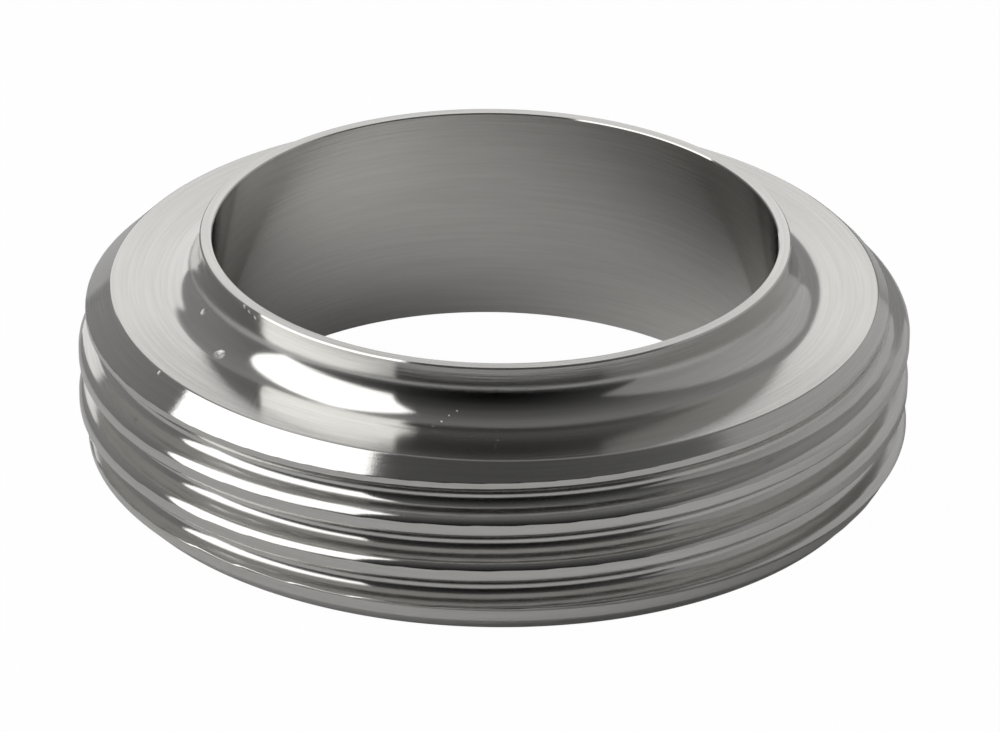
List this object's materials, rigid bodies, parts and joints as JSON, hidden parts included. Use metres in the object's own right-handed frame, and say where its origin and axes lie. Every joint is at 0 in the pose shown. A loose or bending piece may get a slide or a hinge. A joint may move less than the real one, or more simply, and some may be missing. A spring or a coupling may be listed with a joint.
{
  "type": "dairy union male part",
  "caption": "Threaded male end of a sanitary pipe union: a short steel ring with a round outside thread, a thin neck to weld to a tube, and a smooth through bore.",
  "frame": {"origin": "centre of the mating face, where the bore axis meets the lowest plane of the part", "axes": "+Z along the bore axis, from the mating face towards the weld end; X and Y across it"},
  "size_m": [0.072, 0.072, 0.0199],
  "materials": {
    "stainless_steel": "fine turned, with circumferential tool marks"
  },
  "bodies": {
    "root": {"male_part": "stainless_steel"}
  },
  "joints": []
}
